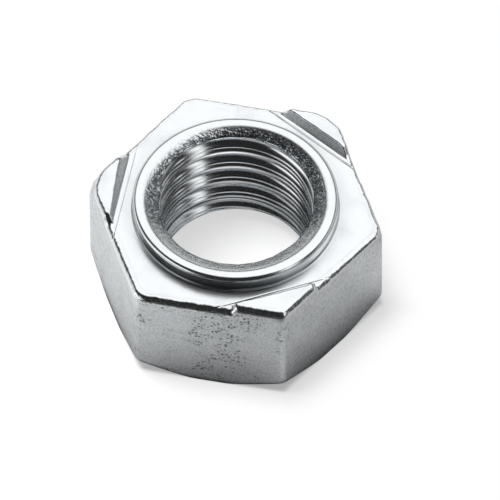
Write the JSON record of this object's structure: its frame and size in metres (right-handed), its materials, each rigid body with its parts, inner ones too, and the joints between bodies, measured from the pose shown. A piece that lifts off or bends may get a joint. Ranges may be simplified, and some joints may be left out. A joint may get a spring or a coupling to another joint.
{
  "type": "hex weld nut",
  "caption": "Hexagonal steel weld nut with a threaded bore, a raised centring collar and low welding lugs on alternate corners.",
  "frame": {"origin": "centre of the plain back face, on the thread axis", "axes": "+Z along the thread axis from the plain back face to the collar and lugs, a flat of the hexagon faces -Y and a corner points along +X"},
  "size_m": [0.0214, 0.0186, 0.0097],
  "materials": {
    "zinc_plated_steel": "bright zinc plate over cold-formed steel, lightly pitted on the flats"
  },
  "bodies": {
    "root": {"weld_nut": "zinc_plated_steel"}
  },
  "joints": []
}
